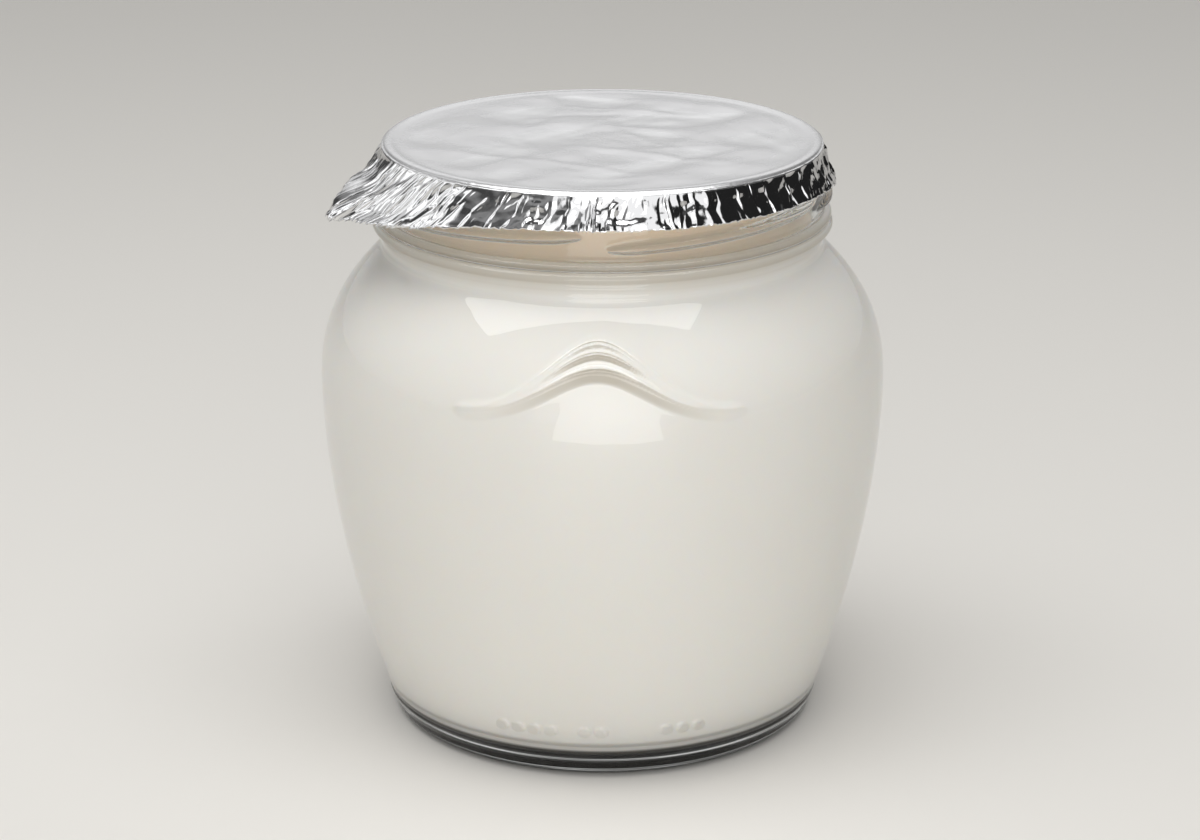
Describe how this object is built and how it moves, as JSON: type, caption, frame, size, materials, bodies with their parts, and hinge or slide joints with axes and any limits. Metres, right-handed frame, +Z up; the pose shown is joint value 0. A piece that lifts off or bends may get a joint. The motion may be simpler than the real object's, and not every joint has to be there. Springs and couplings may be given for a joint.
{
  "type": "yogurt pot",
  "caption": "Bellied glass pot of plain yogurt, closed by a crimped foil lid with a pull tab; arched relief on its shoulder.",
  "frame": {"origin": "on the pot's axis, in the plane that its foot stands on, which is the bottom centre of its box", "axes": "+Z up the pot's axis, -Y is the front with the arched relief, the lid's pull tab points to -X"},
  "size_m": [0.1002, 0.1002, 0.1049],
  "materials": {
    "glass": "clear, polished",
    "yogurt": "smooth, moist",
    "foil": "bright crinkled foil"
  },
  "bodies": {
    "root": {"jar": "glass", "yogurt": "yogurt", "foil_lid": "foil"}
  },
  "joints": []
}
